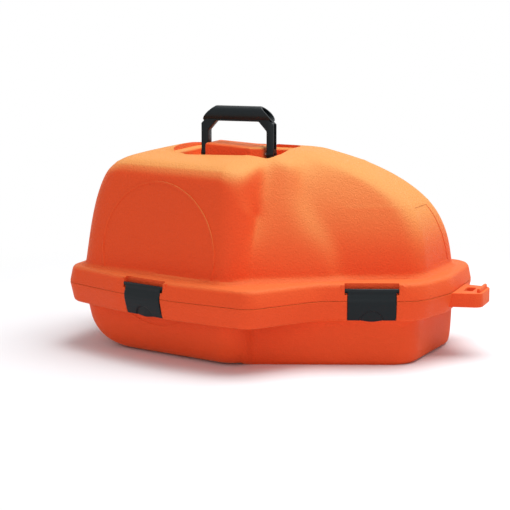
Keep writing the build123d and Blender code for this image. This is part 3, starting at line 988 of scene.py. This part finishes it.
# Handle: one black satin moulding. Two channelled legs with bevelled corners
# carry a tube grip whose ends are cut on the slant and left open; the legs turn
# on a steel rod through the island.
black = moulded_plastic(
    "black_moulded_plastic",
    colour=(0.006, 0.0095, 0.0115), painted_lit_colour=(0.007, 0.0105, 0.0125), pale=(0.03, 0.034, 0.037),
    rough=0.34, grain_scale=1100.0, grain_height=0.00005, wear_share=0.5)
black.node_tree.nodes["Principled BSDF"].inputs["Specular IOR Level"].default_value = 0.17
leg_inner = 48.5
leg_outer = 60.0
leg_top = 46.5
grip_z = 62.0
grip_radius = 12.0
grip_end = 36.0
grip_cut = 57.0
slant_run = 22.0
grip_wall = 2.3
leg_half = 8.0
boss_radius = 8.5
rod_hole_radius = 2.55
groove_half = 4.6


def rounded(thing, width, segments, degrees=35):
    """Rounds every edge over that angle off to the width."""
    change = thing.modifiers.new("round", "BEVEL")
    change.width = width / 1000
    change.segments = segments
    change.limit_method = "ANGLE"
    change.angle_limit = math.radians(degrees)
    return made_plain(thing)


def across_depth(name, outline, half):
    """An outline of (x, z) points drawn out in depth about the handle's middle."""
    rings = []
    for side in (-half, half):
        rings.append([(handle_x + x, handle_y + side, rod_z + z) for x, z in outline])
    return facing_out(stacked(name, [np.array(ring, float) for ring in rings]))


def round_bar(name, start, end, radius, count=48):
    """A round bar between two points."""
    start, end = np.array(start, float), np.array(end, float)
    along = (end - start) / np.linalg.norm(end - start)
    side = np.cross(along, (0, 0, 1.0)) if abs(along[2]) < 0.9 else np.array((1.0, 0, 0))
    side /= np.linalg.norm(side)
    up = np.cross(side, along)
    turn = np.linspace(0, 2 * math.pi, count, endpoint=False)
    circle = radius * (np.outer(np.cos(turn), side) + np.outer(np.sin(turn), up))
    return facing_out(stacked(name, [start + circle, end + circle]))


def level_bar(name, low, high, up, radius, count=48):
    """A round bar along X between two places, at a height over the rod."""
    start, end = ((handle_x + x, handle_y, rod_z + up) for x in (low, high))
    return round_bar(name, start, end, radius, count)


inner_low = grip_z - grip_radius
# the handle seen from the front: both legs and the bar between them
arch = [
    (-leg_outer, -boss_radius), (-leg_outer, leg_top), (-grip_end - 8, grip_z), (grip_end + 8, grip_z),
    (leg_outer, leg_top), (leg_outer, -boss_radius), (leg_inner, -boss_radius), (leg_inner, inner_low - 14),
    (leg_inner - 13, inner_low + 0.6), (13 - leg_inner, inner_low + 0.6), (-leg_inner, inner_low - 14),
    (-leg_inner, -boss_radius),
]
handle = rounded(across_depth("handle_arch", arch, leg_half), 1.2, 3)
tube = level_bar("grip", -grip_cut, grip_cut, grip_z, grip_radius, 72)
bore = level_bar("bore", -grip_cut - 9, grip_cut + 9, grip_z, grip_radius - grip_wall, 72)
steps = [("UNION", tube), ("DIFFERENCE", bore)]
# each end of the grip is cut along a curved slant
for side in (-1, 1):
    slant = []
    for t in np.linspace(0, 1, 9):
        along = grip_end + slant_run * (1 - (1 - t) ** 1.6)
        slant.append((side * along, grip_z + grip_radius + 0.3 - (2 * grip_radius + 1.3) * t))
    slant += [(side * 90, inner_low - 1), (side * 90, 90), (side * grip_end, 90)]
    steps.append(("DIFFERENCE", across_depth("slant", slant, 20)))
handle = cut_and_joined(handle, steps)
# the channel in each leg's outer face, and the boss about the rod
steps = []
for side in (-1, 1):
    groove = [
        (side * (leg_outer + 2), 4), (side * (leg_outer - 4), 6), (side * (leg_outer - 4), leg_top - 3),
        (side * (leg_outer - 6), leg_top + 1), (side * (leg_outer + 2), leg_top + 1),
    ]
    steps.append(("DIFFERENCE", across_depth("groove", groove, groove_half)))
    steps.append(("UNION", level_bar("boss", side * leg_inner, side * leg_outer, 0, boss_radius)))
# the corners of the legs' feet are taken off round the boss
foot_radius = boss_radius + 0.02
for side in (-1, 1):
    low, high = sorted((handle_x + side * (leg_inner - 2), handle_x + side * (leg_outer + 2)))
    for depth in (-1, 1):
        ring = []
        for turn in np.radians(np.linspace(0, 90, 10)):
            out, down = foot_radius * math.cos(turn), foot_radius * math.sin(turn)
            ring.append((handle_y + depth * out, rod_z - down))
        corner_y = handle_y + depth * 12
        ring += [(handle_y, rod_z - 12), (corner_y, rod_z - 12), (corner_y, rod_z)]
        steps.append(("DIFFERENCE", extruded("foot_corner", ring, low, high)))
rod_hole = level_bar("rod_hole", -leg_outer - 2, leg_outer + 2, 0, rod_hole_radius, 32)
steps.append(("DIFFERENCE", rod_hole))
handle = cut_and_joined(handle, steps)
smooth_with_edges(handle, 30)
handle.name = "carry_handle"
covered(handle, black)
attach(handle, "handle")
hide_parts("handle")

# Latches: two black plates, each rolled over a bar whose ends turn in the lid's
# rim. The plate bows over the rim, and its lower edge swells out in the middle
# under a half-round hollow for the thumb.
plate_thick = 3.0
plate_line = [
    (4.2, 17.9), (3.0, 17.2), (2.0, 16), (1.7, 14.2), (2.1, 12.2), (2.3, 10), (1.4, 7.4), (0.2, 4.6),
    (-0.6, 2), (-1.0, -1), (-0.6, -6), (0.7, -12), (2.8, -19), (5.2, -25), (7.2, -29.6),
]
plate_side = 2.2
thumb_radius = 17.0
thumb_drop = 33.0
swell = 2.7
swell_half = 21.0
bar_place = (5.0, 117.9)
bar_radius = 2.7
stub_place = (6.0, 116.0)
stub_radius = 2.4


def latch_plate(name, place):
    """The bowed plate: swollen at its lower edge and hollowed for the thumb."""
    across = np.linspace(-latch_width / 2, latch_width / 2, 121)
    down = np.linspace(0, 1, 61)
    line = np.array(plate_line)
    run = run_along(line)
    swelling = np.clip(np.cos(np.clip(across / swell_half, -1, 1) * math.pi / 2), 0, 1) ** 1.5
    side = np.clip((np.abs(across) - latch_width / 2 + plate_side) / plate_side, 0, 1)
    outer, inner = [], []
    for part in down:
        at = part * (run[-1] + swell * swelling)
        over = np.maximum(at - run[-1], 0)
        depth = np.interp(at, run, line[:, 0]) + over * 0.45
        height = parting + np.interp(at, run, line[:, 1]) - over * 0.9
        away = np.hypot(across, height - parting + thumb_drop)
        hollow = np.clip((thumb_radius + 1.6 - away) / 1.2, 0, 1)
        hollow = hollow * hollow * (3 - 2 * hollow) * (1.0 + 1.2 * np.clip(away / thumb_radius, 0, 1))
        outer.append(np.stack([across, depth + hollow + 0.35 * side ** 2, height], 1))
        inner.append(np.stack([across, depth + plate_thick, height], 1))
    points = turned(np.vstack(outer + inner), place)
    return rounded(slab(name, points, len(down), len(across)), 0.5, 2, 60)


def latch_bar(name, half, middle_line, radius, place):
    """A round bar along a latch, half its length to each side."""
    start, end = turned(np.array([(-half, *middle_line), (half, *middle_line)]), place)
    return round_bar(name, start, end, radius)


for name, place in latch_places.items():
    plate = latch_plate(name + "_plate", place)
    bar = rounded(latch_bar("bar", bar_width / 2, bar_place, bar_radius, place), 0.5, 2, 50)
    stubs = latch_bar("stubs", bar_width / 2 + stub_length, stub_place, stub_radius, place)
    plate = cut_and_joined(plate, [("UNION", bar), ("UNION", stubs)])
    smooth_with_edges(plate, 35)
    covered(plate, black)
    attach(plate, name)
    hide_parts(name)

# Steel rod of the handle and the two hinge pins: drawn wire with a faint
# drawing grain along its length.
steel, tree, shader = plain_material("drawn_steel")
shader.inputs["Metallic"].default_value = 1.0
stretch = tree.nodes.new("ShaderNodeMapping")
stretch.inputs["Scale"].default_value = (30, 900, 900)
tree.links.new(tree.nodes.new("ShaderNodeTexCoord").outputs["Object"], stretch.inputs["Vector"])
scratches = noise_of(tree, stretch.outputs["Vector"], 1.0, 3.0)
shade = mixed(tree, scratches, (0.42, 0.42, 0.43), (0.62, 0.62, 0.62))
tree.links.new(shade, shader.inputs["Base Color"])
tree.links.new(ranged(tree, scratches, 0.0, 1.0, 0.25, 0.45), shader.inputs["Roughness"])
for name in ("handle_rod", "left_hinge_pin", "right_hinge_pin"):
    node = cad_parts[name]
    node.data.materials.clear()
    node.data.materials.append(steel)

# Floor, backdrop light and lamps: a sheet of white paper that reads as pure white
# away from the case and keeps the case's shadow near it, under a wide soft lamp
# above and to the right, so that the shadow falls to the left.
floor_half, floor_front, floor_back = 30, -12, 40
floor_corners = [
    (-floor_half, floor_front, 0), (floor_half, floor_front, 0),
    (floor_half, floor_back, 0), (-floor_half, floor_back, 0),
]
floor_mesh = bpy.data.meshes.new("floor")
floor_mesh.from_pydata(floor_corners, [], [(0, 1, 2, 3)])
floor = placed("floor", floor_mesh)
paper, tree, shader = plain_material("white_paper")
shader.inputs["Base Color"].default_value = (0.86, 0.865, 0.885, 1)
shader.inputs["Roughness"].default_value = 0.9
shader.inputs["Specular IOR Level"].default_value = 0.1


def ray_of(tree, kinds):
    """One where the ray is of any of these kinds."""
    path = tree.nodes.new("ShaderNodeLightPath")
    found = path.outputs[kinds[0]]
    for kind in kinds[1:]:
        found = math_of(tree, "MAXIMUM", found, path.outputs[kind])
    return found


def shown_as(tree, factor, plain, seen, end):
    """A mix of two shaders as the tree's surface."""
    blend = tree.nodes.new("ShaderNodeMixShader")
    tree.links.new(factor, blend.inputs["Fac"])
    tree.links.new(plain, blend.inputs[1])
    tree.links.new(seen, blend.inputs[2])
    tree.links.new(blend.outputs["Shader"], tree.nodes[end].inputs["Surface"])


distance = tree.nodes.new("ShaderNodeVectorMath")
distance.operation = "LENGTH"
tree.links.new(tree.nodes.new("ShaderNodeTexCoord").outputs["Object"], distance.inputs[0])
far_away = ranged(tree, distance.outputs["Value"], 0.55, 1.1, smooth=True)
glow = tree.nodes.new("ShaderNodeEmission")
white = math_of(tree, "MULTIPLY", ray_of(tree, ["Is Camera Ray", "Is Glossy Ray"]), far_away)
shown_as(tree, white, shader.outputs["BSDF"], glow.outputs["Emission"], "Material Output")
floor_mesh.materials.append(paper)

world = bpy.data.worlds.new("studio")
bpy.context.scene.world = world
world.use_nodes = True
tree = world.node_tree
sky = tree.nodes["Background"]
seen = tree.nodes.new("ShaderNodeBackground")
for light, strength in ((sky, 0.45), (seen, 1.0)):
    light.inputs["Color"].default_value = (1, 1, 1, 1)
    light.inputs["Strength"].default_value = strength
direct = ray_of(tree, ["Is Camera Ray", "Is Glossy Ray", "Is Transmission Ray"])
shown_as(tree, direct, sky.outputs["Background"], seen.outputs["Background"], "World Output")


def soft_lamp(name, place, aim, size, power):
    """A square lamp at a place, turned towards its aim."""
    lamp = bpy.data.lights.new(name, "AREA")
    lamp.shape = "SQUARE"
    lamp.size = size
    lamp.energy = power
    holder = placed(name, lamp)
    holder.location = place
    away = np.array(place) - np.array(aim)
    flat = math.hypot(away[0], away[1])
    holder.rotation_euler = (math.atan2(flat, away[2]), 0, math.atan2(away[1], away[0]) + math.pi / 2)


soft_lamp("key_lamp", (0.55, 0.3, 2.3), (0, 0, 0.15), 2.0, 63)
soft_lamp("fill_lamp", (0.4, -2.6, 0.7), (0, 0, 0.05), 1.6, 10)

bpy.context.scene.view_settings.view_transform = "Standard"
bpy.context.view_layer.update()
